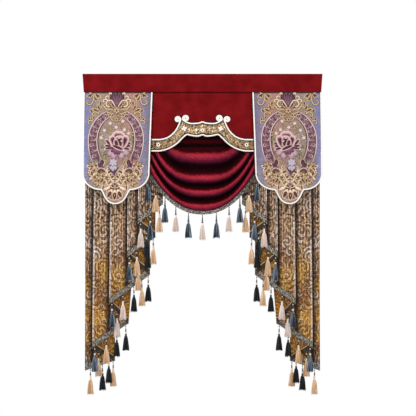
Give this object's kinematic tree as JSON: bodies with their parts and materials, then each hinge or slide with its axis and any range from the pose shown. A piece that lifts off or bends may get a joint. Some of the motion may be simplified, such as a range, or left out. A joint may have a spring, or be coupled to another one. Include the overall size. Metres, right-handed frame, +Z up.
{
  "type": "swag and tail drape",
  "caption": "Velvet window valance with a scrolled gold band, two shaped flags, a draped swag and two long pleated tails, trimmed with piping, braid and tassels",
  "frame": {"origin": "the middle of the heading's top edge, where the drape hangs from the wall or rail: mount top_edge", "axes": "+Z up along the length, +X to the right as seen from the front, the front faces -Y and the back lies towards +Y"},
  "size_m": [1.4938, 0.1146, 1.9976],
  "materials": {
    "red_velvet": "plain red velvet",
    "wine_velvet": "glossy wine-red velvet",
    "gold_brocade": "gold figured brocade",
    "tail_brocade": "brown and gold figured brocade",
    "flag_brocade": "lilac and taupe satin with raised embroidery",
    "white_piping": "white satin cord",
    "braid": "grey-taupe woven braid",
    "yarn_peach": "peach rayon yarn",
    "yarn_cream": "cream rayon yarn",
    "yarn_slate": "slate rayon yarn",
    "embroidery_gold": "gold thread",
    "embroidery_cream": "cream thread",
    "embroidery_purple": "purple thread",
    "embroidery_pink": "pink and wine thread",
    "embroidery_green": "olive thread",
    "bead_pale": "small pale glass bead",
    "bead_dark": "small dark glass bead"
  },
  "bodies": {
    "root": {"heading_band": "red_velvet", "valance_panel": "red_velvet", "scroll_band": "gold_brocade", "piping_upper_left": "white_piping", "piping_upper_right": "white_piping", "piping_middle": "white_piping", "piping_lower": "white_piping", "flag_left": "flag_brocade", "flag_right": "flag_brocade", "flag_piping_left": "white_piping", "flag_piping_right": "white_piping", "swag": "wine_velvet", "swag_fringe": "braid", "tail_left": "tail_brocade", "tail_right": "tail_brocade", "tail_fringe_left": "braid", "tail_fringe_right": "braid"}
  },
  "joints": []
}
